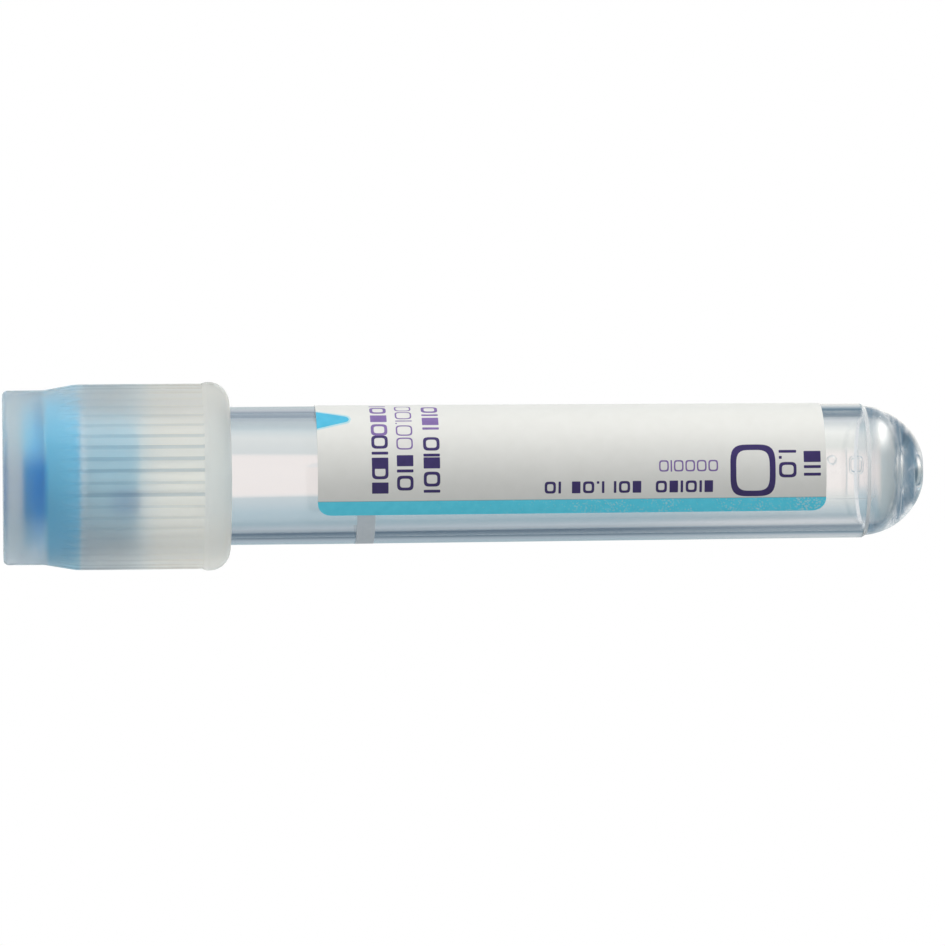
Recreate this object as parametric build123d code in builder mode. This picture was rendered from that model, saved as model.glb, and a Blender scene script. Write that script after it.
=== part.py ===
from build123d import *
from math import cos, radians, sin, sqrt
import os

# A blood collection tube in millimetres: a clear test tube holding a second, thinner tube,
# closed by a rubber stopper in a fluted shield, with a label wrapped round the barrel.
# The closed tube stands on its closure. z = 0 is the closure's flat head, +Z runs along the
# tube's axis to its domed end, and the axis is x = y = 0.

# Clearances
plug_gap = 0.05  # radial, between the stopper's plug and the inner tube's bore
tube_gap = 0.05  # between the inner tube and the outer tube, on the walls and at the dome
stopper_gap = 0.05  # radial, between the stopper and the shield round its lock, neck and flange
skirt_gap = 0.32  # radial, between the outer tube's rim and the shield's skirt
glue_gap = 0.02  # between the label and the barrel

# Closure, outside
closure_length = 20.0
head_radius = 7.70
head_length = 3.55
head_corner = 0.45
flare_length = 2.85
flare_blend = 3.0
skirt_radius = 8.19
bead_stand = 0.14  # how far the bead stands proud of the skirt
bead_shoulder = 0.40
bead_straight = 0.65  # length of the bead before its rounding
bead_end_flat = 0.05  # what the bead's rounding leaves of the closure's open end
flute_count = 48
flute_depth = 0.25
flute_width = 0.86

# Closure, inside: the shield's web is clasped between the stopper's lock and its flange
recess_radius = 5.85
recess_depth = 1.60
recess_lead = 0.50
web_thickness = 1.00

# Stopper
lock_radius = 5.60
lock_thickness = 1.00
lock_round = 0.30
neck_radius = 4.40
flange_radius = 7.10
flange_thickness = 3.15
flange_round = 0.25
plug_length = 5.35
plug_lead = 0.50
well_mouth_radius = 2.80
well_floor_radius = 2.20
well_depth = 2.40
well_round = 0.60
cavity_radius = 3.20
cavity_depth = 3.60
cavity_round = 0.80

# Outer tube
tube_length = 75.0  # from the inner tube's lip to the end of the dome's round
rim_radius = 6.13
rim_round = 0.10
barrel_radius = 6.10
barrel_foot_radius = 5.945
foot_length = 5.65  # from the foot of the barrel to the end of the dome's round
step_length = 0.30
dome_radius = 5.745
gate_radius = 1.65
gate_depth = 0.50
bore_mouth_radius = 5.58
land_start = 0.20  # past the end of the closure
land_end = 0.15  # short of the label

# Inner tube
lip_thickness = 0.40
lip_round = 0.08
inner_mouth_radius = 5.20
inner_foot_radius = 4.80
inner_foot_wall = 0.50
seat_length = 6.25  # the straight stretch of bore that the plug fills
hollow_end = 1.71  # from the hollow's end to the end of the dome's round
crown_radius = 6.50
knuckle_radius = 2.60

# Label: its length is measured along the tube, its arc round it, anticlockwise from above
label_start = 7.55  # past the end of the closure
label_length = 44.85
label_thickness = 0.10
label_from_degrees = 155.3
label_arc_degrees = 150.0
label_corner = 1.20

# Heights up the axis
web_bottom_z = recess_depth + lock_thickness
flange_z = web_bottom_z + web_thickness
rim_z = flange_z + flange_thickness
lip_top_z = rim_z + lip_thickness
plug_end_z = rim_z + plug_length
skirt_z = head_length + flare_length
dome_end_z = rim_z + tube_length
dome_centre_z = dome_end_z - dome_radius
foot_z = dome_end_z - foot_length
step_end_z = foot_z + step_length
hollow_end_z = dome_end_z - hollow_end
seat_end_z = rim_z + seat_length
land_start_z = closure_length + land_start
label_z = closure_length + label_start
land_end_z = label_z - land_end
label_end_z = label_z + label_length

# Radii that follow from a fit
neck_hole_radius = neck_radius + stopper_gap
lock_pocket_radius = lock_radius + stopper_gap
chamber_radius = flange_radius + stopper_gap
skirt_bore_radius = rim_radius + skirt_gap
bead_radius = skirt_radius + bead_stand
bead_round = bead_radius - skirt_bore_radius - bead_end_flat
bead_z = closure_length - bead_round - bead_straight
plug_radius = inner_mouth_radius - plug_gap
lip_radius = rim_radius
inner_tube_mouth_radius = bore_mouth_radius - tube_gap


def barrel_radius_at(z):
    """Radius of the drafted barrel at height z, between the land and the foot."""
    share = (z - land_end_z) / (foot_z - land_end_z)
    return barrel_radius + share * (barrel_foot_radius - barrel_radius)


def closed_end(offset):
    """Points of a dished end that lies offset outside the hollow's own.

    A knuckle arc leaves the wall and a flatter crown arc reaches the axis. The result is the
    foot of the wall, a point on the knuckle, the point where the arcs meet, a point on the
    crown and the end on the axis, each as (radius, z).
    """
    crown = crown_radius + offset
    knuckle = knuckle_radius + offset
    crown_centre_z = hollow_end_z - crown_radius
    knuckle_r = inner_foot_radius - knuckle_radius
    reach = crown_radius - knuckle_radius
    knuckle_z = crown_centre_z + sqrt(reach**2 - knuckle_r**2)
    tilt_sin = knuckle_r / reach
    tilt_cos = sqrt(1 - tilt_sin**2)
    half_sin = sqrt((1 - tilt_cos) / 2)
    half_cos = sqrt((1 + tilt_cos) / 2)
    wall_foot = (inner_foot_radius + offset, knuckle_z)
    on_knuckle = (
        knuckle_r + knuckle * sqrt((1 + tilt_sin) / 2),
        knuckle_z + knuckle * sqrt((1 - tilt_sin) / 2),
    )
    meeting = (crown * tilt_sin, crown_centre_z + crown * tilt_cos)
    on_crown = (crown * half_sin, crown_centre_z + crown * half_cos)
    end = (0, crown_centre_z + crown)
    return wall_foot, on_knuckle, meeting, on_crown, end


def radial_plane(degrees):
    """Plane through the axis's foot that faces outwards at an angle round the tube."""
    angle = radians(degrees)
    return Plane(origin=(0, 0, 0), x_dir=(-sin(angle), cos(angle), 0), z_dir=(cos(angle), sin(angle), 0))


def cut_plane(degrees):
    """Plane that holds the axis and the radius at an angle round the tube."""
    angle = radians(degrees)
    return Plane(origin=(0, 0, 0), x_dir=(cos(angle), sin(angle), 0), z_dir=(sin(angle), -cos(angle), 0))


# Shield: a flat-headed cap with a recess, a web, a chamber for the stopper and a long skirt
with BuildPart() as shield:
    with BuildSketch(Plane.XZ) as shield_profile:
        with BuildLine():
            Polyline(
                (recess_radius, 0),
                (head_radius, 0),
                (head_radius, head_length),
                (skirt_radius, skirt_z),
                (skirt_radius, bead_z),
                (bead_radius, bead_z + bead_shoulder),
                (bead_radius, closure_length),
                (skirt_bore_radius, closure_length),
                (skirt_bore_radius, rim_z),
                (chamber_radius, rim_z),
                (chamber_radius, flange_z),
                (neck_hole_radius, flange_z),
                (neck_hole_radius, web_bottom_z),
                (lock_pocket_radius, web_bottom_z),
                (lock_pocket_radius, recess_depth),
                (recess_radius, recess_depth),
                close=True,
            )
        make_face()
        corners = shield_profile.vertices()
        flare_ends = corners.filter_by(
            lambda v: v.X > recess_radius and abs(v.Y - head_length) < 0.01
            or abs(v.X - skirt_radius) < 0.01 and abs(v.Y - skirt_z) < 0.01
        )
        fillet(flare_ends, radius=flare_blend)
        corners = shield_profile.vertices()
        head_edge = corners.group_by(Axis.Y)[0]
        fillet(head_edge.sort_by(Axis.X)[-1], radius=head_corner)
        corners = shield_profile.vertices()
        head_edge = corners.group_by(Axis.Y)[0]
        chamfer(head_edge.sort_by(Axis.X)[0], length=recess_lead)
        skirt_edge = shield_profile.vertices().group_by(Axis.Y)[-1]
        fillet(skirt_edge.sort_by(Axis.X)[-1], radius=bead_round)
    revolve(axis=Axis.Z)

    # Flutes run parallel to the axis, fade out on the flare and stop square at the bead
    flute_radius = (flute_width**2 / 4 + flute_depth**2) / (2 * flute_depth)
    flute_line_radius = sqrt(skirt_radius**2 - flute_width**2 / 4)
    flute_line_radius += sqrt(flute_radius**2 - flute_width**2 / 4)
    with BuildSketch(Plane.XY.offset(head_length)):
        with PolarLocations(flute_line_radius, flute_count):
            Circle(flute_radius)
    extrude(amount=bead_z - head_length, mode=Mode.SUBTRACT)

shield.part.label = "shield"

# Stopper: a lock above the web, a neck through it, a flange below and a hollow plug
with BuildPart() as stopper:
    with BuildSketch(Plane.XZ) as stopper_profile:
        with BuildLine():
            Polyline(
                (0, recess_depth + well_depth),
                (well_floor_radius, recess_depth + well_depth),
                (well_mouth_radius, recess_depth),
                (lock_radius, recess_depth),
                (lock_radius, web_bottom_z),
                (neck_radius, web_bottom_z),
                (neck_radius, flange_z),
                (flange_radius, flange_z),
                (flange_radius, rim_z),
                (plug_radius, rim_z),
                (plug_radius, plug_end_z),
                (cavity_radius, plug_end_z),
                (cavity_radius, plug_end_z - cavity_depth),
                (0, plug_end_z - cavity_depth),
                close=True,
            )
        make_face()
        corners = stopper_profile.vertices()
        lock_corners = corners.filter_by(lambda v: abs(v.X - lock_radius) < 0.01)
        fillet(lock_corners, radius=lock_round)
        corners = stopper_profile.vertices()
        flange_corners = corners.filter_by(lambda v: abs(v.X - flange_radius) < 0.01)
        fillet(flange_corners, radius=flange_round)
        corners = stopper_profile.vertices()
        plug_corner = corners.filter_by(
            lambda v: abs(v.X - plug_radius) < 0.01 and abs(v.Y - plug_end_z) < 0.01
        )
        chamfer(plug_corner, length=plug_lead)
        corners = stopper_profile.vertices()
        well_corner = corners.filter_by(lambda v: abs(v.X - well_floor_radius) < 0.01)
        fillet(well_corner, radius=well_round)
        corners = stopper_profile.vertices()
        cavity_corner = corners.filter_by(
            lambda v: abs(v.X - cavity_radius) < 0.01 and v.Y < plug_end_z - 0.01
        )
        fillet(cavity_corner, radius=cavity_round)
    revolve(axis=Axis.Z)

stopper.part.label = "stopper"

# Outer tube: a drafted barrel with a straight land, a step at its foot, and a dome with a
# gate dimple at its end
with BuildPart() as outer_tube:
    wall_foot, on_knuckle, meeting, on_crown, bore_end = closed_end(
        inner_foot_wall + tube_gap
    )
    step_radius = sqrt(dome_radius**2 - (step_end_z - dome_centre_z) ** 2)
    gate_edge_z = dome_centre_z + sqrt(dome_radius**2 - gate_radius**2)
    gate_floor_z = gate_edge_z - gate_depth
    gate_sphere_radius = (gate_radius**2 + gate_depth**2) / (2 * gate_depth)
    gate_centre_z = gate_floor_z + gate_sphere_radius
    half_gate = gate_radius / 2
    with BuildSketch(Plane.XZ) as outer_profile:
        with BuildLine():
            Polyline(
                wall_foot,
                (bore_mouth_radius, lip_top_z),
                (rim_radius, lip_top_z),
                (barrel_radius, land_start_z),
                (barrel_radius, land_end_z),
                (barrel_foot_radius, foot_z),
                (step_radius, step_end_z),
            )
            ThreePointArc(
                (step_radius, step_end_z),
                (dome_radius * sin(radians(45)), dome_centre_z + dome_radius * cos(radians(45))),
                (gate_radius, gate_edge_z),
            )
            ThreePointArc(
                (gate_radius, gate_edge_z),
                (half_gate, gate_centre_z - sqrt(gate_sphere_radius**2 - half_gate**2)),
                (0, gate_floor_z),
            )
            Line((0, gate_floor_z), bore_end)
            ThreePointArc(bore_end, on_crown, meeting)
            ThreePointArc(meeting, on_knuckle, wall_foot)
        make_face()
        rim_corner = outer_profile.vertices().filter_by(
            lambda v: abs(v.X - rim_radius) < 0.01 and abs(v.Y - lip_top_z) < 0.01
        )
        fillet(rim_corner, radius=rim_round)
    revolve(axis=Axis.Z)

outer_tube.part.label = "outer_tube"

# Inner tube: its lip hooks over the outer tube's rim, and its bore tapers to a dished end
with BuildPart() as inner_tube:
    outer_end = closed_end(inner_foot_wall)
    hollow = closed_end(0)
    with BuildSketch(Plane.XZ) as inner_profile:
        with BuildLine():
            Polyline(
                hollow[0],
                (inner_mouth_radius, seat_end_z),
                (inner_mouth_radius, rim_z),
                (lip_radius, rim_z),
                (lip_radius, lip_top_z),
                (inner_tube_mouth_radius, lip_top_z),
                outer_end[0],
            )
            ThreePointArc(outer_end[0], outer_end[1], outer_end[2])
            ThreePointArc(outer_end[2], outer_end[3], outer_end[4])
            Line(outer_end[4], hollow[4])
            ThreePointArc(hollow[4], hollow[3], hollow[2])
            ThreePointArc(hollow[2], hollow[1], hollow[0])
        make_face()
        lip_corners = inner_profile.vertices().filter_by(
            lambda v: abs(v.X - lip_radius) < 0.01
        )
        fillet(lip_corners, radius=lip_round)
    revolve(axis=Axis.Z)

inner_tube.part.label = "inner_tube"

# Label: a thin film round most of the barrel, open along a window strip, with rounded corners
label_to_degrees = label_from_degrees + label_arc_degrees

with BuildPart() as label:
    start_radius = barrel_radius_at(label_z) + glue_gap
    end_radius = barrel_radius_at(label_end_z) + glue_gap
    with BuildSketch(cut_plane(label_from_degrees)):
        with BuildLine():
            Polyline(
                (start_radius, label_z),
                (start_radius + label_thickness, label_z),
                (end_radius + label_thickness, label_end_z),
                (end_radius, label_end_z),
                close=True,
            )
        make_face()
    revolve(axis=Axis.Z, revolution_arc=label_arc_degrees)

    # Each corner loses the part of a square that lies outside its rounding circle
    corner_square = 2 * label_corner
    for degrees, inward in ((label_from_degrees, 1), (label_to_degrees, -1)):
        with BuildSketch(radial_plane(degrees)):
            for height, upward in ((label_z, 1), (label_end_z, -1)):
                with Locations((0, height)):
                    Rectangle(corner_square, corner_square)
                with Locations((inward * label_corner, height + upward * label_corner)):
                    Circle(label_corner, mode=Mode.SUBTRACT)
        extrude(amount=barrel_radius + 1, mode=Mode.SUBTRACT)

label.part.label = "label"

os.makedirs("parts", exist_ok=True)
export_step(shield.part, "parts/shield.step")
export_step(stopper.part, "parts/stopper.step")
export_step(outer_tube.part, "parts/outer_tube.step")
export_step(inner_tube.part, "parts/inner_tube.step")
export_step(label.part, "parts/label.step")
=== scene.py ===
from math import radians, sqrt
import bpy
import numpy as np
from mathutils import Matrix, Vector


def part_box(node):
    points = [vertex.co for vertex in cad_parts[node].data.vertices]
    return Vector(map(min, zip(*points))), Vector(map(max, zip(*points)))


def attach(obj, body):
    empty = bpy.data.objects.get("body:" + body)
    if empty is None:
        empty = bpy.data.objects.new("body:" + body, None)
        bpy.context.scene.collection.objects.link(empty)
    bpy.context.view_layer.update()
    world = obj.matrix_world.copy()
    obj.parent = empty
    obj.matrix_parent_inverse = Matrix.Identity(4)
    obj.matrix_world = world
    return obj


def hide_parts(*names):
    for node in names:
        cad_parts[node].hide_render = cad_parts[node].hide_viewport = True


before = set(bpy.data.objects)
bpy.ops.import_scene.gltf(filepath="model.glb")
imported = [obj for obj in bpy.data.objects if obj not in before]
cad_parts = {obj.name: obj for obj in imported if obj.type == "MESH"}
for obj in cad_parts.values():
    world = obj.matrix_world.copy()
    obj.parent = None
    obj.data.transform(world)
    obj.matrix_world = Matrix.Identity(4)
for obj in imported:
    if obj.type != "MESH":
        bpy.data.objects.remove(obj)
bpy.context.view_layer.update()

# The closed tube stands on its head at z = 0, its axis is x = y = 0 and its front faces -Y.
# Angles round it are in degrees from the front towards +X. Lengths are in metres.
MM = 0.001
AROUND = 320  # points round a turned piece

closure_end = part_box("shield")[1].z
tube_low, tube_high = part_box("outer_tube")
liner_low, liner_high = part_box("inner_tube")
label_low, label_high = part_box("label")

# Radii of the outer tube: its mouth, its barrel above and below the draft, its dome, the gate
# dimple's edge, and the mouth of its bore
RIM = tube_high.x
BARREL = 6.10 * MM
FOOT = 5.945 * MM
DOME = 5.745 * MM
GATE = 1.65 * MM
BORE_MOUTH = 5.58 * MM
# Radii of the inner tube: its outside at the mouth, and its hollow at the mouth and the foot
LINER_MOUTH = 5.53 * MM
HOLLOW_MOUTH = 5.20 * MM
HOLLOW_FOOT = 4.80 * MM
GATE_DEPTH = 0.50 * MM
OUTER_OFFSET, LINER_OFFSET = 0.55 * MM, 0.50 * MM  # how far the dished ends lie off the hollow's
RIM_ROUND, LIP_ROUND = 0.10 * MM, 0.08 * MM
DOME_INSIDE = 5.6 * MM  # radius between the dome's inner walls and its outside
FLUTES = 48.0  # round the shield's skirt
BEAD_FROM = 17.6 * MM  # height at which the skirt ends and its bead begins

dome_centre = tube_high.z - sqrt(DOME**2 - GATE**2)
dome_end = dome_centre + DOME
foot = dome_end - 5.65 * MM
step_end = foot + 0.30 * MM
step_radius = sqrt(DOME**2 - (step_end - dome_centre) ** 2)
land_start = closure_end + 0.20 * MM
land_end = label_low.z - 0.15 * MM
lip = liner_low.z  # underside of the liner's lip
mouth = tube_low.z  # where the outer tube begins
seat_end = lip + 6.25 * MM


def barrel_at(z):
    """Radius of the drafted barrel: a straight line from the land to the foot."""
    share = (z - land_end) / (foot - land_end)
    return BARREL + np.clip(share, 0, 1) * (FOOT - BARREL)


def straight(start, end):
    """Points of a straight stretch of a profile: its ends, and a point close to each end that
    keeps the shading of the next stretch off it."""
    a, b = np.array(start), np.array(end)
    near = min(0.25, 0.1 * MM / np.linalg.norm(b - a))
    return [a, a + (b - a) * near, b - (b - a) * near, b]


def arc(centre, radius, start, end, count):
    """Points of an arc in a profile: centre plus radius times (sine, cosine) of an angle that
    runs from start to end, measured from the axis's direction."""
    t = np.radians(np.linspace(start, end, count))
    return list(np.array(centre) + radius * np.stack([np.sin(t), np.cos(t)], axis=1))


def dished_end(offset, start_at_wall):
    """Points of the tubes' dished end that lies offset outside the hollow: a knuckle arc off
    the wall, then a flatter crown arc that reaches the axis."""
    crown, knuckle = 6.50 * MM, 2.60 * MM
    hollow_end = liner_high.z - LINER_OFFSET
    crown_z = hollow_end - crown
    knuckle_r = HOLLOW_FOOT - knuckle
    knuckle_z = crown_z + sqrt((crown - knuckle) ** 2 - knuckle_r**2)
    tilt = np.degrees(np.arcsin(knuckle_r / (crown - knuckle)))
    points = arc((knuckle_r, knuckle_z), knuckle + offset, 90, tilt, 24)
    points += arc((0, crown_z), crown + offset, tilt, 0, 24)[1:]
    return points if start_at_wall else points[::-1]


def chained(*stretches):
    """One profile from stretches laid end to end, with the doubled joints dropped."""
    points = [p for stretch in stretches for p in stretch]
    kept = [points[0]]
    for p in points[1:]:
        if np.linalg.norm(p - kept[-1]) > 1e-7:
            kept.append(p)
    return np.array(kept)


def make_object(name, points, faces, uv, body, node=None):
    """A smooth mesh object, sharp where it turns by more than 20 degrees, riding on a body and
    standing for a CAD node if one is named. The UV map holds the way round the barrel and the
    height, in millimetres, one row for each corner of the faces."""
    mesh = bpy.data.meshes.new(name)
    mesh.from_pydata(points.tolist(), [], faces)
    mesh.shade_smooth()
    mesh.set_sharp_from_angle(angle=radians(20))
    mesh.uv_layers.new(name="unrolled").data.foreach_set("uv", np.asarray(uv, dtype=float).ravel())
    piece = bpy.data.objects.new(name, mesh)
    bpy.context.collection.objects.link(piece)
    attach(piece, body)
    if node:
        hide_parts(node)
    return piece


def turned(name, profile, body, node):
    """A solid turned about the axis: each profile point (r, z) goes round as x = r sin t,
    y = -r cos t, with t from -180 to 180 degrees. Both ends of the profile lie on the axis."""
    rings = profile[1:-1]
    t = np.linspace(-np.pi, np.pi, AROUND, endpoint=False)
    x = rings[:, :1] * np.sin(t)
    y = -rings[:, :1] * np.cos(t)
    z = np.repeat(rings[:, 1:], AROUND, axis=1)
    points = np.stack([x, y, z], axis=2).reshape(-1, 3)
    points = np.vstack([points, [0, 0, profile[0, 1]], [0, 0, profile[-1, 1]]])
    first, last = len(points) - 2, len(points) - 1
    here = np.arange(AROUND)
    after = (here + 1) % AROUND
    row = np.arange(len(rings) - 1)[:, None] * AROUND
    quads = [row + here, row + AROUND + here, row + AROUND + after, row + after]
    quads = np.stack(quads, axis=2).reshape(-1, 4)
    end = (len(rings) - 1) * AROUND
    start_fan = np.stack([np.full(AROUND, first), here, after], axis=1)
    end_fan = np.stack([end + after, end + here, np.full(AROUND, last)], axis=1)
    faces = quads.tolist() + start_fan.tolist() + end_fan.tolist()

    steps = np.tile(np.stack([here, here, here + 1, here + 1], axis=1), (len(rings) - 1, 1))
    fan = np.stack([here + 0.5, here, here + 1], axis=1)
    steps = np.concatenate([steps.ravel(), fan.ravel(), fan[:, ::-1].ravel()])
    corners = np.concatenate([quads.ravel(), start_fan.ravel(), end_fan.ravel()])
    around = (steps / AROUND * 2 - 1) * np.pi * BARREL
    uv = np.stack([around, points[corners, 2]], axis=1) / MM
    return make_object(name, points, faces, uv, body, node)


def bent(around, z, lift):
    """Points laid on the barrel: x = r sin t, y = -r cos t, where t is around divided by the
    barrel's radius and r is the drafted radius at z plus lift."""
    t = around / BARREL
    r = barrel_at(z) + lift
    return np.stack([r * np.sin(t), -r * np.cos(t), z], axis=-1).reshape(-1, 3)


def grid(low, high, corner, columns, rows):
    """Rows of points that fill an upright oblong with rounded corners. A row at distance d
    from the nearer end is drawn in by corner minus the root of corner squared minus
    (corner - d) squared."""
    off = corner * (1 - np.cos(np.linspace(0, 1, 7) * np.pi / 2))
    span = high[1] - low[1]
    z = np.concatenate([off, np.linspace(corner, span - corner, rows + 1), span - off])
    z = np.unique(z.round(9))
    d = np.minimum(z, span - z)
    inset = corner - np.sqrt(np.maximum(0, corner**2 - np.maximum(0, corner - d) ** 2))
    share = np.linspace(0, 1, columns + 1)
    around = (low[0] + inset)[:, None] + share * (high[0] - low[0] - 2 * inset)[:, None]
    return around, np.broadcast_to((low[1] + z)[:, None], around.shape)


def cells(n, m):
    """Quads over n rows of m points."""
    i, j = np.arange(n - 1)[:, None] * m, np.arange(m - 1)
    return np.stack([i + j, i + j + 1, i + m + j + 1, i + m + j], axis=2).reshape(-1, 4)


def film(name, low, high, corner, lift, thickness, body, node):
    """A thin closed shell bent round the barrel: an outer sheet, an inner sheet that is its
    copy turned inside out, and a rim of quads between them."""
    around, z = grid(low, high, corner, 144, 48)
    n, m = around.shape
    points = np.vstack([bent(around, z, lift + thickness), bent(around, z, lift)])
    index = np.arange(n * m).reshape(n, m)
    rim = np.concatenate([index[0], index[1:, -1], index[-1, -2::-1], index[-2:0:-1, 0]])
    after = np.roll(rim, -1)
    sides = np.stack([rim, rim + n * m, after + n * m, after], axis=1)
    faces = np.vstack([cells(n, m), cells(n, m)[:, ::-1] + n * m, sides])
    flat = np.stack([around, z], axis=2).reshape(-1, 2) / MM
    return make_object(name, points, faces.tolist(), flat[faces.ravel() % (n * m)], body, node)


def printed(name, shapes, lift, material):
    """Ink on the label: flat shapes, each a pair of arrays of places round and up, laid on the
    barrel in one mesh."""
    points, faces, uv, count = [], [], [], 0
    for around, z in shapes:
        quads = cells(*around.shape)
        points.append(bent(around, z, lift))
        faces.append(quads + count)
        uv.append((np.stack([around, z], axis=2).reshape(-1, 2) / MM)[quads.ravel()])
        count += around.size
    piece = make_object(name, np.vstack(points), np.vstack(faces).tolist(), np.vstack(uv), "tube")
    piece.data.materials.append(material)
    return piece


# Colours shown as they are, and enough bounces for four clear walls
bpy.context.scene.view_settings.view_transform = "Standard"
for bounces in ("max", "glossy", "transmission", "transparent_max"):
    setattr(bpy.context.scene.cycles, bounces + "_bounces", 32)

# Camera: low beside the head, looking across the standing tube, turned so that the tube lies
# across the frame with its closure on the left
camera_data = bpy.data.cameras.new("camera")
camera = bpy.data.objects.new("camera", camera_data)
bpy.context.collection.objects.link(camera)
bpy.context.scene.camera = camera
FRAME_WIDTH = 83.82 * MM
ROLL = radians(-0.50)
aim = Vector((-0.08, 0, 41.54)) * MM
eye = Vector((-0.08, -700, -4.0)) * MM
forward = (aim - eye).normalized()
right = forward.cross(Vector((-1, 0, 0))).normalized()
turn = Matrix((right, right.cross(forward), -forward)).transposed().to_4x4()
camera.matrix_world = Matrix.Translation(eye) @ turn @ Matrix.Rotation(ROLL, 4, "Z")
camera_data.sensor_width = 36
camera_data.lens = 36 * (aim - eye).length / FRAME_WIDTH
camera_data.clip_start, camera_data.clip_end = 0.01, 20


# Pieces
gate_round = (GATE**2 + GATE_DEPTH**2) / (2 * GATE_DEPTH)  # through the dimple's edge and floor
dimple = 180 - np.degrees(np.arcsin(GATE / gate_round))
dome_from = np.degrees(np.arcsin(GATE / DOME))
dome_to = np.degrees(np.arcsin(step_radius / DOME))
barrel = turned(
    "barrel",
    chained(
        arc((0, tube_high.z - GATE_DEPTH + gate_round), gate_round, 180, dimple, 12),
        arc((0, dome_centre), DOME, dome_from, dome_to, 60),
        straight((step_radius, step_end), (FOOT, foot)),
        straight((FOOT, foot), (BARREL, land_end)),
        straight((BARREL, land_end), (BARREL, land_start)),
        straight((BARREL, land_start), (RIM, mouth + RIM_ROUND)),
        arc((RIM - RIM_ROUND, mouth + RIM_ROUND), RIM_ROUND, 90, 180, 6),
        straight((RIM - RIM_ROUND, mouth), (BORE_MOUTH, mouth)),
        straight((BORE_MOUTH, mouth), dished_end(OUTER_OFFSET, True)[0]),
        dished_end(OUTER_OFFSET, True),
    ),
    "tube",
    "outer_tube",
)
liner = turned(
    "liner",
    chained(
        dished_end(LINER_OFFSET, False),
        straight(dished_end(LINER_OFFSET, True)[0], (LINER_MOUTH, mouth)),
        straight((LINER_MOUTH, mouth), (RIM - LIP_ROUND, mouth)),
        arc((RIM - LIP_ROUND, mouth - LIP_ROUND), LIP_ROUND, 0, 90, 5),
        arc((RIM - LIP_ROUND, lip + LIP_ROUND), LIP_ROUND, 90, 180, 5),
        straight((RIM - LIP_ROUND, lip), (HOLLOW_MOUTH, lip)),
        straight((HOLLOW_MOUTH, lip), (HOLLOW_MOUTH, seat_end)),
        straight((HOLLOW_MOUTH, seat_end), dished_end(0, True)[0]),
        dished_end(0, True),
    ),
    "tube",
    "inner_tube",
)

LABEL_FROM = radians(-115.0) * BARREL
LABEL_TO = radians(35.3) * BARREL
STRIP_FROM = radians(22.3) * BARREL  # where the label's white ends and its cyan strip begins
GLUE = 0.01 * MM
FILM = 0.07 * MM
label = film(
    "wrap_label",
    (LABEL_FROM, label_low.z),
    (LABEL_TO, label_high.z),
    1.2 * MM,
    GLUE,
    FILM,
    "tube",
    "label",
)


# Shader helpers
def new_material(name):
    """An empty node material: its tree, a Principled shader and the output."""
    material = bpy.data.materials.new(name)
    material.use_nodes = True
    tree = material.node_tree
    tree.nodes.clear()
    output = tree.nodes.new("ShaderNodeOutputMaterial")
    shader = tree.nodes.new("ShaderNodeBsdfPrincipled")
    tree.links.new(shader.outputs[0], output.inputs["Surface"])
    return material, tree, shader, output


def feed(tree, node, inputs):
    """Give each named or numbered input of a node its value, or link it to an output."""
    for name, value in inputs.items():
        if isinstance(value, bpy.types.NodeSocket):
            tree.links.new(value, node.inputs[name])
        else:
            node.inputs[name].default_value = value


def add(tree, kind, inputs=None, **settings):
    """A node of that kind, with its settings and its inputs."""
    node = tree.nodes.new("ShaderNode" + kind)
    for name, value in settings.items():
        setattr(node, name, value)
    feed(tree, node, inputs or {})
    return node


def math(tree, operation, *values):
    """One Math node's output."""
    return add(tree, "Math", dict(enumerate(values)), operation=operation).outputs[0]


def times(tree, first, *others):
    """All the values multiplied."""
    for value in others:
        first = math(tree, "MULTIPLY", first, value)
    return first


def rest(tree, value):
    """1 minus a value."""
    return math(tree, "SUBTRACT", 1.0, value)


def off(tree, value, middle):
    """How far a value is from the middle."""
    return math(tree, "ABSOLUTE", math(tree, "SUBTRACT", value, middle))


def step(tree, value, low, high):
    """0 below low, 1 above high, smooth between."""
    inputs = {"Value": value, "From Min": low, "From Max": high}
    return add(tree, "MapRange", inputs, interpolation_type="SMOOTHSTEP").outputs[0]


def span(tree, value, rise, full, fade, gone):
    """1 between full and fade, and smoothly down to 0 at rise and at gone."""
    return times(tree, step(tree, value, rise, full), rest(tree, step(tree, value, fade, gone)))


def blend(tree, share, a, b):
    """Colour a where share is 0 and colour b where it is 1."""
    return add(tree, "Mix", {0: share, 6: a, 7: b}, data_type="RGBA").outputs[2]


def apart(tree, place, middle):
    """Distance of places from a point."""
    node = add(tree, "VectorMath", {0: place, 1: middle}, operation="DISTANCE")
    return node.outputs["Value"]


def new_group(name, sockets, result, kind):
    """An empty node group: its tree, its inputs, each with a kind, and the input of its one
    result."""
    group = bpy.data.node_groups.new(name, "ShaderNodeTree")
    for socket, socket_kind in sockets.items():
        group.interface.new_socket(socket, in_out="INPUT", socket_type="NodeSocket" + socket_kind)
    group.interface.new_socket(result, in_out="OUTPUT", socket_type="NodeSocket" + kind)
    given = group.nodes.new("NodeGroupInput").outputs
    return group, given, group.nodes.new("NodeGroupOutput").inputs[result]


# Uneven colour: two colours mixed by a soft noise over the places
uneven_colour, given, result = new_group(
    "uneven colour",
    {"Place": "Vector", "Scale": "Float", "Detail": "Float", "First": "Color", "Second": "Color"},
    "Color",
    "Color",
)
cloud = {"Vector": given["Place"], "Scale": given["Scale"], "Detail": given["Detail"]}
cloud = add(uneven_colour, "TexNoise", cloud).outputs[0]
mixed = blend(uneven_colour, cloud, given["First"], given["Second"])
uneven_colour.links.new(mixed, result)

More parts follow.
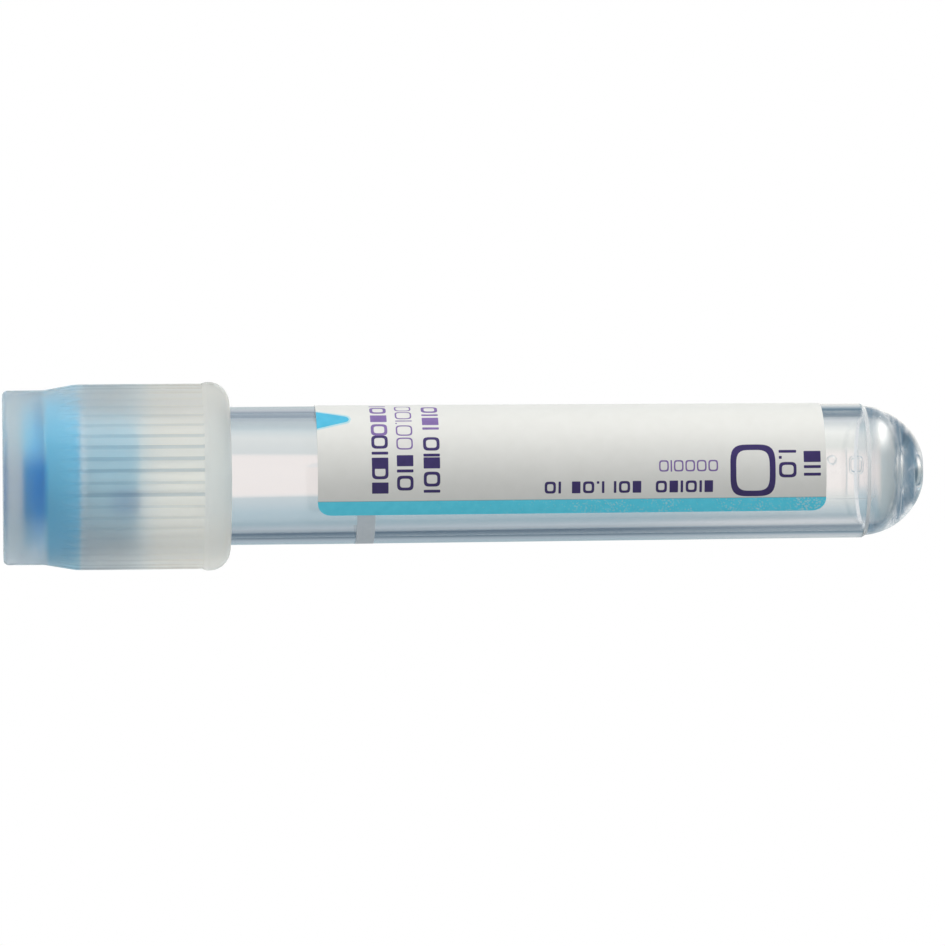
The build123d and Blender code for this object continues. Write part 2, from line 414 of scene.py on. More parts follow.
# Fine grain: heights of a noise over the places
fine_grain, given, result = new_group(
    "fine grain", {"Place": "Vector", "Scale": "Float"}, "Height", "Float"
)
grains = {"Vector": given["Place"], "Scale": given["Scale"], "Detail": 2.0}
fine_grain.links.new(add(fine_grain, "TexNoise", grains).outputs[0], result)

# Dome haze: 1 on the walls inside the dome, nearer to its centre than 5.6 mm, from the foot up
dome_haze, given, result = new_group("dome haze", {"Place": "Vector"}, "Haze", "Float")
height = add(dome_haze, "SeparateXYZ", {0: given["Place"]}).outputs[2]
inside = apart(dome_haze, given["Place"], (0, 0, dome_centre))
inside = math(dome_haze, "LESS_THAN", inside, DOME_INSIDE)
hazy = times(dome_haze, inside, step(dome_haze, height, foot - 1 * MM, foot + 1 * MM))
dome_haze.links.new(hazy, result)


def uneven(tree, place, scale, detail, low, high):
    """A colour that is uneven between two."""
    low, high = (*low, 1), (*high, 1)
    inputs = {"Place": place, "Scale": scale, "Detail": detail, "First": low, "Second": high}
    return add(tree, "Group", inputs, node_tree=uneven_colour).outputs[0]


def grain(tree, place, scale, depth, strength, normal=None):
    """A normal bumped by fine grain of that depth, in millimetres."""
    height = add(tree, "Group", {"Place": place, "Scale": scale}, node_tree=fine_grain).outputs[0]
    inputs = {"Height": height, "Distance": depth * MM, "Strength": strength}
    if normal is not None:
        inputs["Normal"] = normal
    return add(tree, "Bump", inputs).outputs[0]


def let_light_through(tree, shader, output, tint):
    """Lamps and bounced light pass the clear wall, tinted, and don't stop at it. A ray that has
    bounced many times inside the walls leaves them."""
    path = add(tree, "LightPath")
    passing = math(tree, "MAXIMUM", path.outputs["Is Shadow Ray"], path.outputs["Is Diffuse Ray"])
    tired = math(tree, "GREATER_THAN", path.outputs["Ray Depth"], 14.0)
    passing = math(tree, "MAXIMUM", passing, tired)
    clear = add(tree, "BsdfTransparent", {"Color": (*tint, 1)})
    mix = add(tree, "MixShader", {0: passing, 1: shader.outputs[0], 2: clear.outputs[0]})
    tree.links.new(mix.outputs[0], output.inputs["Surface"])


# Finishes
def clear_plastic(name, ior, roughness, marks):
    """Clear moulded plastic: smooth flow waves in the surface. The function marks draws from the
    tree and the wall's places, all from 0 to 1: heights of the mould's marks, where the wall is
    hazy, and where it is painted pale and rough as painted light, where a ray meets it from
    outside."""
    material, tree, shader, output = new_material(name)
    place = add(tree, "TexCoord").outputs["Object"]
    drawn, haze, pale = marks(tree, place)
    # the painted pale light shows only where a ray meets the wall from outside it
    pale = times(tree, pale, rest(tree, add(tree, "NewGeometry").outputs["Backfacing"]))
    waves = grain(tree, place, 220.0, 0.0015, 0.5)
    bump = {"Height": drawn, "Distance": 0.03 * MM, "Strength": 0.8, "Normal": waves}
    rough = math(tree, "ADD", roughness, times(tree, haze, 0.09))
    feed(tree, shader, {
        "Base Color": (0.98, 0.987, 0.99, 1),
        "IOR": ior,
        "Transmission Weight": 1.0,
        "Roughness": math(tree, "ADD", rough, times(tree, pale, 0.3)),
        "Normal": add(tree, "Bump", bump).outputs[0],
    })
    painted_pale = add(tree, "BsdfDiffuse", {"Color": (0.86, 0.87, 0.85, 1)})
    layers = {0: times(tree, pale, 0.6), 1: shader.outputs[0], 2: painted_pale.outputs[0]}
    let_light_through(tree, add(tree, "MixShader", layers), output, (0.97, 0.98, 0.985))
    return material


def unrolled(tree):
    """The way round the barrel and the height, in millimetres."""
    return add(tree, "SeparateXYZ", {0: add(tree, "UVMap", uv_map="unrolled").outputs[0]}).outputs


def liner_marks(tree, place):
    """The liner has no marks of its own, only the haze in the dome."""
    return 0.0, add(tree, "Group", {"Place": place}, node_tree=dome_haze).outputs[0], 0.0


def cavity_marks(tree, place):
    """Marks of the mould near the foot, outside only, in millimetres round and up: a small
    ring, a rounded oblong outline, two fine lines across, one along and two patches of tiny
    bubbles, painted pale as glints. The step at the foot is painted pale as a line of light."""
    u, v, _ = unrolled(tree)
    x, y, _ = add(tree, "SeparateXYZ", {0: place}).outputs
    squares = math(tree, "ADD", math(tree, "POWER", x, 2.0), math(tree, "POWER", y, 2.0))
    reach = math(tree, "SQRT", squares)

    def outline(middle_u, middle_v, half_u, half_v, power):
        """The edge where the distances from the middle, each divided by its half size and raised
        to the power, add up to 1: a ring at power 2, a rounded oblong at power 4."""
        du = math(tree, "DIVIDE", off(tree, u, middle_u), half_u)
        dv = math(tree, "DIVIDE", off(tree, v, middle_v), half_v)
        powers = math(tree, "ADD", math(tree, "POWER", du, power), math(tree, "POWER", dv, power))
        far = math(tree, "POWER", powers, 1 / power)
        return rest(tree, step(tree, off(tree, far, 1.0), 0.05, 0.22))

    def fine_line(height, low, high):
        """A line across at a height, from low to high."""
        near = rest(tree, step(tree, off(tree, v, height), 0.01, 0.06))
        within = times(tree, step(tree, u, low, low + 0.2), step(tree, u, high, high - 0.2))
        return times(tree, near, within, 0.6)

    def patch(middle_u, middle_v):
        """A round patch, 1 near its middle and 0 past 0.75 mm."""
        flat = add(tree, "CombineXYZ", {0: u, 1: v}).outputs[0]
        return rest(tree, step(tree, apart(tree, flat, (middle_u, middle_v, 0)), 0.45, 0.75))

    scratch = rest(tree, step(tree, off(tree, u, 2.68), 0.02, 0.07))
    drawn = times(tree, scratch, step(tree, v, 71.9, 73.5), math(tree, "LESS_THAN", v, 76.6))
    for mark in (
        outline(-0.97, 72.90, 0.37, 0.37, 2.0),
        outline(-0.50, 75.05, 0.70, 0.54, 4.0),
        fine_line(74.20, -2.2, 2.4),
        fine_line(75.25, -2.4, 2.2),
    ):
        drawn = math(tree, "MAXIMUM", drawn, mark)
    drawn = times(tree, drawn, math(tree, "GREATER_THAN", reach, DOME_INSIDE))

    # painted light: the step at the foot is a pale line
    painted_step_line = rest(tree, step(tree, off(tree, v, (foot + step_end) / 2 / MM), 0.12, 0.24))
    painted_step_line = times(tree, painted_step_line, math(tree, "GREATER_THAN", reach, 5.5 * MM))
    # tiny bubbles, their paleness painted glints
    bubbles = add(tree, "TexVoronoi", {"Vector": place, "Scale": 3200.0}, feature="F1")
    patches = math(tree, "MAXIMUM", patch(2.75, 76.7), patch(-6.1, 77.5))
    bubbles = math(tree, "LESS_THAN", bubbles.outputs["Distance"], times(tree, patches, 0.24))
    return drawn, liner_marks(tree, place)[1], math(tree, "MAXIMUM", painted_step_line, bubbles)


def cut_lip():
    """The liner's lip, cut and pale."""
    material, tree, shader, _ = new_material("pale cut lip")
    place = add(tree, "TexCoord").outputs["Object"]
    base = uneven(tree, place, 1400.0, 2.0, (0.80, 0.84, 0.85), (0.90, 0.92, 0.91))
    feed(tree, shader, {"Base Color": base, "Roughness": 0.4})
    return material


def milky_plastic():
    """The shield's milky plastic: painted shade in soft lines for the ridges between the flutes on
    its front, painted blue light from the rubber where that lies close under it, and a painted
    glow for light scattering in it."""
    material, tree, shader, output = new_material("milky shield")
    place = add(tree, "TexCoord").outputs["Object"]
    x, y, height = add(tree, "SeparateXYZ", {0: place}).outputs
    around = math(tree, "ARCTAN2", x, times(tree, y, -1.0))
    # each of the ridges is a thin line of painted shade, faint on the flare, full on the skirt and
    # fullest on the front
    beat = math(tree, "COSINE", times(tree, around, FLUTES))
    begins = step(tree, height, 4.2 * MM, 8.0 * MM)
    on_skirt = math(tree, "LESS_THAN", height, BEAD_FROM)
    facing = step(tree, math(tree, "COSINE", math(tree, "ADD", around, radians(7))), 0.55, 0.95)
    # the painted shade of the ridges in two stretches of the front is stronger and wider than on
    # the others
    strong = span(tree, around, radians(-29), radians(-24), radians(-5), radians(-1))
    other = span(tree, around, radians(7.5), radians(9), radians(13), radians(15))
    strong = math(tree, "MAXIMUM", strong, other)
    wider = math(tree, "ADD", 0.60, times(tree, strong, 0.35))
    sharpness = math(tree, "SUBTRACT", 0.94, times(tree, begins, wider))
    ridge_shade = step(tree, times(tree, beat, -1.0), sharpness, 0.95)
    strength = math(tree, "ADD", 0.04, times(tree, facing, 0.56))
    strength = math(tree, "ADD", strength, times(tree, strong, 0.40))
    ridge_shade = times(tree, ridge_shade, begins, on_skirt, strength)
    base = uneven(tree, place, 160.0, 2.0, (0.985, 0.985, 0.965), (1.0, 0.995, 0.975))
    # painted shade: the ridges darken the colour towards blue-grey
    base = blend(tree, times(tree, ridge_shade, 0.62), base, (0.45, 0.56, 0.64, 1))
    # painted blue light of the rubber close under the milk: of the flange, more of it on the
    # shaded side, and of the core
    flange = span(tree, height, 3.7 * MM, 4.1 * MM, 6.5 * MM, 6.9 * MM)
    flange = times(tree, flange, step(tree, x, -1 * MM, 7 * MM), 0.55)
    base = blend(tree, flange, base, (0.45, 0.88, 1.0, 1))
    core = rest(tree, step(tree, off(tree, around, radians(9)), radians(12), radians(26)))
    core = times(tree, core, span(tree, height, 1.5 * MM, 2.1 * MM, 3.7 * MM, 4.1 * MM), 0.6)
    base = blend(tree, core, base, (0.25, 0.85, 1.0, 1))
    # a painted glow for light scattering in the milk, warm over the tube and bluer over the plug,
    # most of it on the front
    warm = step(tree, height, 10.5 * MM, 13.5 * MM)
    front = math(tree, "ADD", begins, times(tree, warm, 0.5))
    front = times(tree, facing, on_skirt, front, 0.045)
    sides = times(tree, warm, rest(tree, facing), 0.06)
    painted_glow = times(tree, math(tree, "ADD", front, sides), rest(tree, ridge_shade))
    # the skirt's outside is shaded as if it were round, so the flutes' own shading gives way to
    # the painted shade of the ridges
    side = add(tree, "NewGeometry").outputs
    flat = add(tree, "CombineXYZ", {0: x, 1: y}).outputs[0]
    reach = add(tree, "VectorMath", {0: flat}, operation="LENGTH").outputs["Value"]
    radial = add(tree, "VectorMath", {0: flat}, operation="NORMALIZE").outputs[0]
    towards = math(tree, "SUBTRACT", 1.0, times(tree, side["Backfacing"], 2.0))
    radial = add(tree, "VectorMath", {0: radial, "Scale": towards}, operation="SCALE").outputs[0]
    outside = math(tree, "GREATER_THAN", reach, 7.4 * MM)
    soft = times(tree, outside, step(tree, height, 6.6 * MM, 7.6 * MM), on_skirt, 0.8)
    normal = {0: soft, 4: side["Normal"], 5: radial}
    normal = add(tree, "Mix", normal, data_type="VECTOR").outputs[1]
    feed(tree, shader, {
        "Base Color": base,
        "Roughness": 0.72,
        "IOR": 1.42,
        "Transmission Weight": 0.97,
        "Coat Weight": 0.25,
        "Coat Roughness": 0.22,
        "Emission Color": blend(tree, warm, (0.50, 0.85, 1.0, 1), (1.0, 0.80, 0.52, 1)),
        "Emission Strength": painted_glow,
        "Normal": grain(tree, place, 2600.0, 0.006, 0.4, normal),
    })
    let_light_through(tree, shader, output, (0.98, 0.99, 1.0))
    return material


def blue_rubber():
    """The stopper's rubber: full blue on the flange, painted lighter on the plug and the upper
    part, with painted shade in a core of each towards the shaded side, and a painted glow at the
    neck."""
    material, tree, shader, _ = new_material("blue rubber")
    place = add(tree, "TexCoord").outputs["Object"]
    x, _, height = add(tree, "SeparateXYZ", {0: place}).outputs
    base = uneven(tree, place, 300.0, 2.0, (0.0, 0.40, 0.68), (0.01, 0.47, 0.76))
    # painted light: the plug is paler
    plug = times(tree, step(tree, height, 7.0 * MM, 7.4 * MM), 0.8)
    base = blend(tree, plug, base, (0.42, 0.78, 0.92, 1))
    # painted light round the upper part's core, and painted shade in the core
    upper = rest(tree, step(tree, height, 3.7 * MM, 3.9 * MM))
    past_core = step(tree, off(tree, x, 1.1 * MM), 1.4 * MM, 4.2 * MM)
    core_shade = times(tree, upper, rest(tree, past_core))
    base = blend(tree, times(tree, upper, past_core, 0.6), base, (0.20, 0.66, 0.84, 1))
    base = blend(tree, times(tree, core_shade, 0.9), base, (0.0, 0.24, 0.58, 1))
    # painted shade: a dark spot in the plug towards its shaded side
    plug_core_shade = rest(tree, step(tree, off(tree, x, 2.0 * MM), 0.3 * MM, 1.5 * MM))
    plug_core_shade = times(tree, plug_core_shade, step(tree, height, 9.0 * MM, 10.2 * MM), 0.85)
    base = blend(tree, plug_core_shade, base, (0.0, 0.26, 0.60, 1))
    # a painted glow that lifts the shade at the neck
    neck = span(tree, height, 2.3 * MM, 2.8 * MM, 3.4 * MM, 3.8 * MM)
    feed(tree, shader, {
        "Base Color": base,
        "Roughness": 0.5,
        "Emission Color": blend(tree, core_shade, (0.20, 0.50, 0.68, 1), (0.0, 0.20, 0.46, 1)),
        "Emission Strength": times(tree, neck, 0.45),
        "Normal": grain(tree, place, 1800.0, 0.01, 0.3),
    })
    return material


def label_film():
    """The label's film: white, with a cyan strip along its free edge and a fine dark line where
    the two meet. Dust under the film shows as pale specks in the strip, more of them towards
    the dome."""
    material, tree, shader, _ = new_material("label film")
    place = add(tree, "TexCoord").outputs["Object"]
    u, v, _ = unrolled(tree)
    past = math(tree, "SUBTRACT", u, STRIP_FROM / MM)
    paper = uneven(tree, place, 900.0, 4.0, (0.76, 0.755, 0.71), (0.81, 0.805, 0.765))
    cyan = uneven(tree, place, 1500.0, 3.0, (0.08, 0.68, 0.88), (0.13, 0.80, 0.99))
    crowd = {"Place": place, "Scale": 520.0}
    crowd = add(tree, "Group", crowd, node_tree=fine_grain).outputs[0]
    crowd = times(tree, step(tree, crowd, 0.15, 0.85), step(tree, v, 20.0, 76.0), 0.62)
    specks = add(tree, "TexVoronoi", {"Vector": place, "Scale": 5200.0}, feature="F1")
    specks = math(tree, "LESS_THAN", specks.outputs["Distance"], crowd)
    cyan = blend(tree, times(tree, specks, 0.42), cyan, (0.75, 0.85, 0.86, 1))
    base = blend(tree, step(tree, past, -0.02, 0.02), paper, cyan)
    line = math(tree, "LESS_THAN", math(tree, "ABSOLUTE", past), 0.035)
    base = blend(tree, times(tree, line, 0.45), base, (0.12, 0.22, 0.27, 1))
    normal = grain(tree, place, 700.0, 0.006, 0.35)
    feed(tree, shader, {"Base Color": base, "Roughness": 0.42, "Normal": normal})
    return material


def ink(name, low, high):
    """Printing ink, uneven between two colours."""
    material, tree, shader, _ = new_material(name)
    place = add(tree, "TexCoord").outputs["Object"]
    base = uneven(tree, place, 1300.0, 3.0, low, high)
    feed(tree, shader, {"Base Color": base, "Roughness": 0.42})
    return material


def frosting():
    """The frosted band round the barrel."""
    material, tree, shader, _ = new_material("frosted fill band")
    place = add(tree, "TexCoord").outputs["Object"]
    base = uneven(tree, place, 2400.0, 2.0, (0.60, 0.66, 0.70), (0.70, 0.75, 0.78))
    feed(tree, shader, {"Base Color": base, "Roughness": 0.6, "Alpha": 0.9})
    return material


barrel.data.materials.append(clear_plastic("barrel clear", 1.57, 0.02, cavity_marks))
liner.data.materials.append(clear_plastic("liner clear", 1.50, 0.03, liner_marks))
# the lip is the stretch of the liner below the outer tube's mouth
liner.data.materials.append(cut_lip())
middle = np.empty(len(liner.data.polygons) * 3)
liner.data.polygons.foreach_get("center", middle)
in_lip = middle.reshape(-1, 3)[:, 2] < mouth + 0.01 * MM
liner.data.polygons.foreach_set("material_index", in_lip.astype(np.int32))
label.data.materials.append(label_film())
for name, material in (("shield", milky_plastic()), ("stopper", blue_rubber())):
    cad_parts[name].data.materials[0] = material

indigo = ink("indigo ink", (0.022, 0.012, 0.085), (0.045, 0.022, 0.16))
violet = ink("thin violet ink", (0.16, 0.10, 0.30), (0.26, 0.16, 0.42))
arrow_cyan = ink("cyan ink", (0.045, 0.44, 0.66), (0.085, 0.53, 0.75))
halo_pale = ink("pale halo ink", (0.42, 0.68, 0.74), (0.52, 0.74, 0.78))


# Print: rows of plain bars, blocks and rings where a maker would print words, and a plain frame
def round_to(degrees):
    """Way round the barrel, in metres, of an angle in degrees."""
    return radians(degrees) * BARREL


def hollow(centre, half, stroke):
    """A frame between two outlines: half size times the direction (cosine, sine) divided by the
    fourth root of cosine to the fourth plus sine to the fourth, the inner one less by stroke."""
    q = np.radians(np.linspace(0, 360, 65))
    c, s = np.cos(q), np.sin(q)
    out = (c**4 + s**4) ** -0.25
    size = np.array(half) - stroke * np.linspace(1, 0, 3)[:, None]
    return centre[0] + size[:, :1] * c * out, centre[1] - size[:, 1:] * s * out


def word(signs, start, low, high, stroke, across=True):
    """Signs set one after another from start, between low and high: o is a ring, b a block,
    l a bar and . a dot. They run round the barrel, or along it if across is false."""
    tall = high - low
    shapes, at = [], start
    for sign in signs:
        wide = {"o": 0.72, "b": 0.50, "l": 0.0, ".": 0.0}[sign] * tall + stroke
        top = low + stroke if sign == "." else high
        if sign == "o":
            turned_to = 1 if across else -1
            middle = (at + wide / 2, (low + high) / 2)[::turned_to]
            shape = hollow(middle, (wide / 2, tall / 2)[::turned_to], stroke)
        elif across:
            shape = grid((at, low), (at + wide, top), 0.2 * stroke, 4, 3)
        else:
            shape = grid((low, at), (top, at + wide), 0.2 * stroke, 10, 3)
        shapes.append(shape)
        at += wide + 0.75 * stroke + 0.06 * tall
    return shapes


def pointer(base, tip, low, high, middle, grow):
    """A blunt arrow along the tube: its half width shrinks in a straight line from base to tip,
    and its last stretch closes by a quarter circle."""
    share = np.linspace(0, 1, 25)
    close = np.sqrt(np.maximum(0, 1 - np.clip((share - 0.88) / 0.12, 0, 1) ** 2))
    half = (base + (tip - base) * share + grow) * close
    z = low + (high + grow - low) * share
    across = np.linspace(-1, 1, 13)
    return middle + half[:, None] * across, np.broadcast_to(z[:, None], (25, 13))


INK_STEP = 0.004 * MM
INK = GLUE + FILM + INK_STEP
BOLD, LIGHT = 0.26 * MM, 0.13 * MM
row_a = (label_low.z + 4.75 * MM, label_low.z + 6.20 * MM, BOLD)
row_b = (label_low.z + 6.95 * MM, label_low.z + 8.40 * MM)
row_c = (label_low.z + 9.30 * MM, label_low.z + 10.75 * MM, BOLD)
row_d = (70.4 * MM, 71.9 * MM, BOLD)
line_a = (round_to(7.0), round_to(17.0), 0.22 * MM, False)
line_b = (round_to(-10.0), round_to(-0.5), LIGHT, False)
dark = word("ob", round_to(-8.5), *row_a) + word("olb", round_to(-34.0), *row_a)
dark += word("blo", round_to(-16.0), *row_b, BOLD) + word("bol", round_to(-14.0), *row_c)
dark += word("ol", round_to(-32.0), *row_c)
dark += word("ol", 47.5 * MM, *line_a) + word("bo.l", 49.9 * MM, *line_a)
dark += word("lob", 53.6 * MM, *line_a) + word("oblolb", 57.3 * MM, *line_a)
dark += word("l.o", round_to(-18.0), 68.2 * MM, 69.75 * MM, BOLD)
dark += word("bl", round_to(-17.0), *row_d) + word("l", round_to(1.5), *row_d)
dark += [hollow((round_to(-1.0), 65.9 * MM), (2.35 * MM, 2.0 * MM), 0.52 * MM)]
pale = word("lobo", round_to(-78.0), *row_a) + word("olbl", round_to(-74.0), *row_c)
pale += word("ool.oo", round_to(-76.0), *row_b, LIGHT) + word("oloooo", 57.6 * MM, *line_b)
printed("bold_print", dark, INK, indigo)
printed("light_print", pale, INK, violet)
arrow = (1.20 * MM, 0.30 * MM, label_low.z, label_low.z + 2.9 * MM, round_to(-52.6))
printed("arrow_halo", [pointer(*arrow, 0.17 * MM)], INK, halo_pale)
printed("fill_arrow", [pointer(*arrow, 0.0)], INK + INK_STEP, arrow_cyan)

# the frosted band comes out from under the label's free edge
band = [grid((LABEL_TO - 0.3 * MM, 31.05 * MM), (round_to(118), 32.65 * MM), 0.1 * MM, 32, 6)]
printed("fill_band", band, 0.01 * MM, frosting())


# Stage: a pale floor, seen from below only by light, two cards and a room
def plain(name, points, faces):
    """A stage piece from points and faces."""
    mesh = bpy.data.meshes.new(name)
    mesh.from_pydata(points, [], faces)
    piece = bpy.data.objects.new(name, mesh)
    bpy.context.collection.objects.link(piece)
    return piece


def pale_floor():
    """The floor's finish. Light thrown back inside the plastics before it left them sees it as a
    dark blue-grey, painted shade, and the camera sees through it from below."""
    material, tree, shader, output = new_material("pale floor")
    path = add(tree, "LightPath").outputs
    # painted shade: light thrown back inside the plastics sees a dark blue-grey floor
    thrown = math(tree, "GREATER_THAN", path["Glossy Depth"], 0.5)
    thrown = times(tree, thrown, path["Is Transmission Ray"])
    seen = math(tree, "MAXIMUM", path["Is Camera Ray"], path["Is Glossy Ray"])
    seen = times(tree, math(tree, "MAXIMUM", seen, path["Is Transmission Ray"]), 0.25)
    feed(tree, shader, {
        "Base Color": blend(tree, thrown, (0.85, 0.85, 0.85, 1), (0.02, 0.02, 0.02, 1)),
        "Roughness": 0.9,
        "Emission Color": blend(tree, thrown, (1, 1, 1, 1), (0.11, 0.20, 0.28, 1)),
        "Emission Strength": math(tree, "MAXIMUM", seen, thrown),
    })
    below = times(tree, add(tree, "NewGeometry").outputs["Backfacing"], path["Is Camera Ray"])
    clear = add(tree, "BsdfTransparent")
    mix = add(tree, "MixShader", {0: below, 1: shader.outputs[0], 2: clear.outputs[0]})
    tree.links.new(mix.outputs[0], output.inputs["Surface"])
    return material


def card_finish(name, tone_of):
    """A glowing card's material, its colour given by a function of the tree and the place. Light
    doesn't see it once thrown back, or straight through the clear tube's eight surfaces."""
    material, tree, _, output = new_material(name)
    spot = add(tree, "SeparateXYZ", {0: add(tree, "TexCoord").outputs["Object"]}).outputs
    path = add(tree, "LightPath").outputs
    glow = add(tree, "Emission", {"Color": tone_of(tree, spot, path), "Strength": 1.0})
    straight_through = math(tree, "COMPARE", path["Transmission Depth"], 8.0, 0.5)
    thrown = math(tree, "GREATER_THAN", path["Glossy Depth"], 0.5)
    unseen = math(tree, "MAXIMUM", straight_through, thrown)
    clear = add(tree, "BsdfTransparent")
    mix = add(tree, "MixShader", {0: unseen, 1: glow.outputs[0], 2: clear.outputs[0]})
    tree.links.new(mix.outputs[0], output.inputs["Surface"])
    return material


def ring_tone(tree, spot, path):
    """Warm white on the lit side, greyer on the other, and blue-grey low on that side. Light that
    came through few surfaces, as through an open mouth, sees a plainer tone."""
    shade = step(tree, spot[0], -10 * MM, 45 * MM)
    tone = blend(tree, shade, (1.55, 1.50, 1.37, 1), (1.04, 1.03, 0.98, 1))
    plainer = blend(tree, shade, (0.90, 0.90, 0.87, 1), (0.62, 0.63, 0.62, 1))
    few = math(tree, "LESS_THAN", path["Transmission Depth"], 4.5)
    tone = blend(tree, few, tone, plainer)
    low_tone = blend(tree, shade, (1.06, 1.14, 1.13, 1), (0.22, 0.35, 0.43, 1))
    return blend(tree, step(tree, spot[2], 2 * MM, 9 * MM), low_tone, tone)


def shade_tone(tree, spot, path):
    """Painted shade: grey on the lit side, blue-grey on the other."""
    shade = step(tree, spot[0], -5 * MM, 25 * MM)
    return blend(tree, shade, (0.42, 0.48, 0.50, 1), (0.08, 0.18, 0.26, 1))


def circle(radius, z):
    """Rows of points every 5 degrees round the axis, from the front: r sin t, -r cos t, z."""
    t = np.radians(np.arange(0, 360, 5))
    return np.column_stack([radius * np.sin(t), -radius * np.cos(t), np.full(len(t), z)])


FLOOR = -0.05 * MM
REACH = 3
corners = [(-REACH, -REACH), (REACH, -REACH), (REACH, REACH), (-REACH, REACH)]
floor = plain("floor", [(x, y, FLOOR) for x, y in corners], [(0, 1, 2, 3)])
floor.data.materials.append(pale_floor())

# A low ring card round the closure, lighter on the lit side. Only the plastics show it.
low_ring, high_ring = circle(45 * MM, 0.0), circle(45 * MM, 22 * MM)
i = np.arange(len(low_ring))
j = (i + 1) % len(low_ring)
ring_faces = np.stack([i, i + len(i), j + len(i), j], axis=1)
ring_card = plain("ring_card", np.vstack([low_ring, high_ring]).tolist(), ring_faces.tolist())
ring_card.data.materials.append(card_finish("card glow", ring_tone))

# A round grey card under the closure, painted shade of the floor there. Only light bent down
# inside the tube's walls meets it.
shade_card = plain("shade_card", circle(44 * MM, FLOOR / 2).tolist(), [list(range(len(i)))])
shade_card.data.materials.append(card_finish("card grey", shade_tone))
for card in (ring_card, shade_card):
    for ray in ("camera", "diffuse", "shadow"):
        setattr(card, "visible_" + ray, False)
shade_card.visible_glossy = False


def room_ramp(tree, share, stops):
    """Colours by a share from 0 to 1: each stop gives its place, out of 90, and a colour."""
    ramp = add(tree, "ValToRGB", {0: share})
    elements = ramp.color_ramp.elements
    while len(elements) < len(stops):
        elements.new(0.5)
    for element, (place, rgb) in zip(elements, stops):
        element.position = place / 90
        element.color = (*rgb, 1)
    return ramp.outputs[0]


world = bpy.data.worlds.new("room")
bpy.context.scene.world = world
world.use_nodes = True
tree = world.node_tree
tree.nodes.clear()
way = add(tree, "TexCoord").outputs["Generated"]
x, y, z = add(tree, "SeparateXYZ", {0: way}).outputs
turn = math(tree, "ARCTAN2", x, y)
share = math(tree, "DIVIDE", math(tree, "ABSOLUTE", turn), radians(90))
behind = (0.96, 0.86, 0.82)  # a warm strip right behind the tube
# low down and higher up, on the shaded and the lit side, by degrees from right behind the tube
low_shaded = room_ramp(tree, share, [
    (0.0, behind),
    (2.4, behind),
    (2.7, (0.50, 0.58, 0.61)),
    (6.0, (0.30, 0.45, 0.52)),
    (12.0, (0.16, 0.31, 0.38)),
    (20.0, (0.40, 0.48, 0.54)),
    (30.0, (0.40, 0.47, 0.53)),
    (37.0, (0.26, 0.32, 0.37)),
    (44.0, (0.05, 0.10, 0.15)),
    (62.0, (0.08, 0.12, 0.18)),
    (75.0, (0.70, 0.72, 0.74)),
    (90.0, (0.80, 0.80, 0.82)),
])
low_lit = room_ramp(tree, share, [
    (0.0, behind),
    (2.4, behind),
    (2.7, (0.64, 0.67, 0.66)),
    (6.0, (0.73, 0.75, 0.73)),
    (11.0, (0.52, 0.63, 0.66)),
    (18.0, (0.46, 0.54, 0.57)),
    (30.0, (0.60, 0.62, 0.66)),
    (42.0, (0.22, 0.29, 0.36)),
    (60.0, (0.33, 0.39, 0.46)),
    (75.0, (0.80, 0.82, 0.84)),
    (90.0, (0.85, 0.86, 0.88)),
])
high_shaded = room_ramp(tree, share, [
    (0.0, (1.0, 0.91, 0.86)),
    (2.4, (0.96, 0.87, 0.82)),
    (5.0, (0.66, 0.68, 0.65)),
    (9.0, (0.38, 0.48, 0.52)),
    (13.0, (0.20, 0.32, 0.38)),
    (20.0, (0.62, 0.64, 0.66)),
    (28.0, (0.55, 0.58, 0.62)),
    (36.0, (0.26, 0.35, 0.40)),
    (46.0, (0.08, 0.14, 0.20)),
    (58.0, (0.20, 0.26, 0.32)),
    (70.0, (0.75, 0.74, 0.75)),
    (90.0, (0.85, 0.84, 0.85)),
])
high_lit = room_ramp(tree, share, [
    (0.0, (1.0, 0.91, 0.86)),
    (2.4, (0.96, 0.87, 0.82)),
    (4.0, (0.76, 0.76, 0.70)),
    (9.0, (0.98, 0.97, 0.91)),
    (16.0, (0.80, 0.82, 0.80)),
    (24.0, (0.62, 0.66, 0.70)),
    (34.0, (0.20, 0.29, 0.36)),
    (46.0, (0.08, 0.15, 0.21)),
    (58.0, (0.20, 0.26, 0.32)),
    (70.0, (0.80, 0.80, 0.80)),
    (90.0, (0.85, 0.86, 0.88)),
])
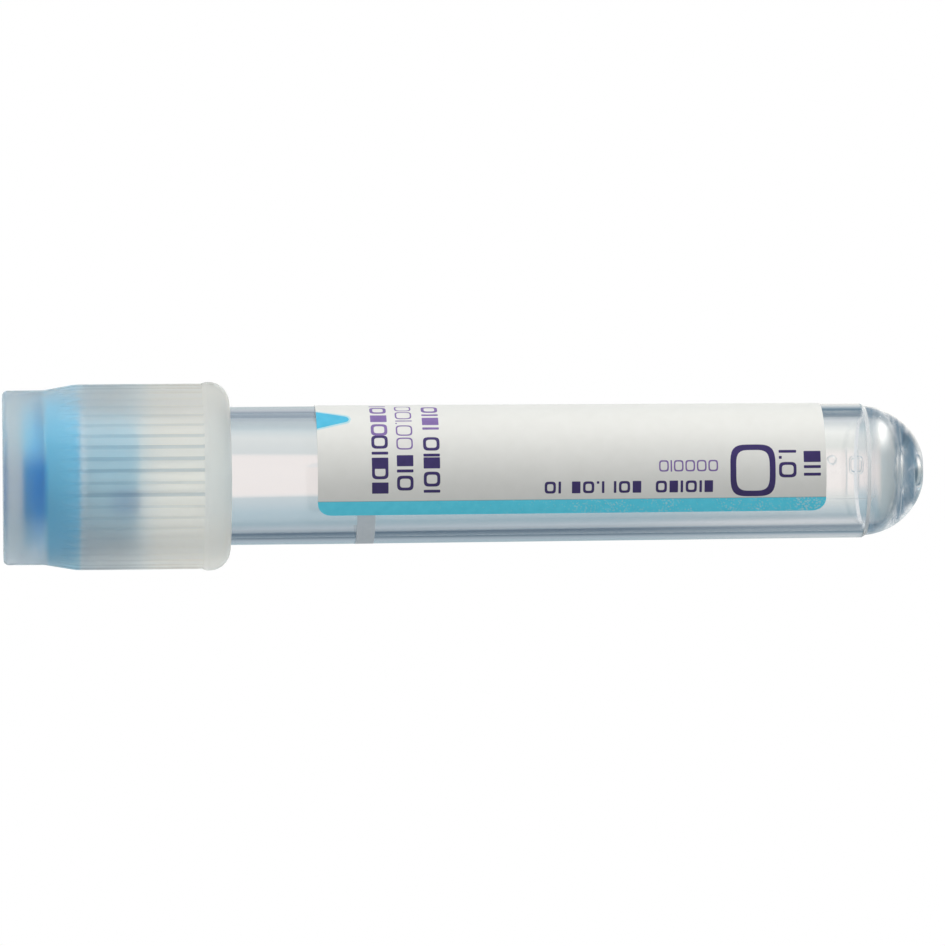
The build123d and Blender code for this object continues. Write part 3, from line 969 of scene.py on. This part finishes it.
# steeper still: colours by the way round, where 45 is right behind the tube, less is the lit
# side and each unit is 2 degrees, multiplied by colours by degrees of rise
signed = math(tree, "ADD", math(tree, "DIVIDE", turn, radians(180)), 0.5)
steep = room_ramp(tree, signed, [
    (15.0, (0.10, 0.17, 0.23)),
    (26.0, (0.22, 0.32, 0.40)),
    (32.0, (0.66, 0.70, 0.74)),
    (36.0, (1.30, 1.27, 1.22)),
    (41.0, (1.50, 1.45, 1.36)),
    (43.5, (0.70, 0.72, 0.71)),
    (46.5, (0.54, 0.60, 0.60)),
    (52.5, (0.44, 0.53, 0.56)),
    (57.0, (0.50, 0.56, 0.58)),
    (64.0, (0.22, 0.32, 0.40)),
    (75.0, (0.10, 0.17, 0.23)),
])
rise = room_ramp(tree, math(tree, "DIVIDE", math(tree, "ARCSINE", z), radians(90)), [
    (0.0, (1.0, 1.0, 1.0)),
    (20.0, (0.98, 0.98, 0.98)),
    (33.0, (0.92, 0.92, 0.92)),
    (40.0, (0.92, 0.90, 0.88)),
    (46.0, (0.20, 0.28, 0.35)),
    (67.0, (0.20, 0.28, 0.35)),
    (74.0, (0.90, 0.84, 0.84)),
    (90.0, (1.2, 1.1, 1.1)),
])
lit_side = step(tree, times(tree, x, -1.0), -0.01, 0.01)
low_room = blend(tree, lit_side, low_shaded, low_lit)
high_room = blend(tree, lit_side, high_shaded, high_lit)
steep_room = {0: 1.0, 6: steep, 7: rise}
steep_room = add(tree, "Mix", steep_room, data_type="RGBA", blend_type="MULTIPLY").outputs[2]
# the low room gives way to the high one 5 to 6 degrees up, and that one 9 to 12 degrees up
room = blend(tree, step(tree, z, 0.085, 0.11), low_room, high_room)
room = blend(tree, step(tree, z, 0.15, 0.20), room, steep_room)
path = add(tree, "LightPath").outputs
# a tall window on the lit side, mirrored in the dome
window = span(tree, turn, radians(-150), radians(-100), radians(-92), radians(-45))
window = times(tree, window, span(tree, z, 0.10, 0.46, 0.50, 0.90), path["Is Glossy Ray"])
room = blend(tree, window, room, (3.6, 3.5, 3.35, 1))
through = math(tree, "MAXIMUM", path["Is Glossy Ray"], path["Is Transmission Ray"])
seen = blend(tree, through, (0.48, 0.49, 0.50, 1), room)
seen = blend(tree, path["Is Camera Ray"], seen, (1, 1, 1, 1))
background = add(tree, "Background", {0: seen, 1: 1.0})
output = tree.nodes.new("ShaderNodeOutputWorld")
tree.links.new(background.outputs[0], output.inputs["Surface"])


def soft_lamp(name, place, aim, size, power):
    """A square soft lamp, whose shape the plastics don't show."""
    data = bpy.data.lights.new(name, "AREA")
    data.size = size
    data.energy = power
    lamp = bpy.data.objects.new(name, data)
    bpy.context.collection.objects.link(lamp)
    lamp.location = place
    lamp.rotation_mode = "QUATERNION"
    lamp.rotation_quaternion = (Vector(aim) - Vector(place)).to_track_quat("-Z", "Y")
    lamp.visible_glossy = False
    lamp.visible_transmission = False


soft_lamp("key lamp", (-0.68, -0.24, 0.20), (0, 0, 0.04), 0.5, 3.2)
soft_lamp("glint lamp", (-0.60, -0.06, 0.46), (0, 0, 0.04), 0.16, 0.5)
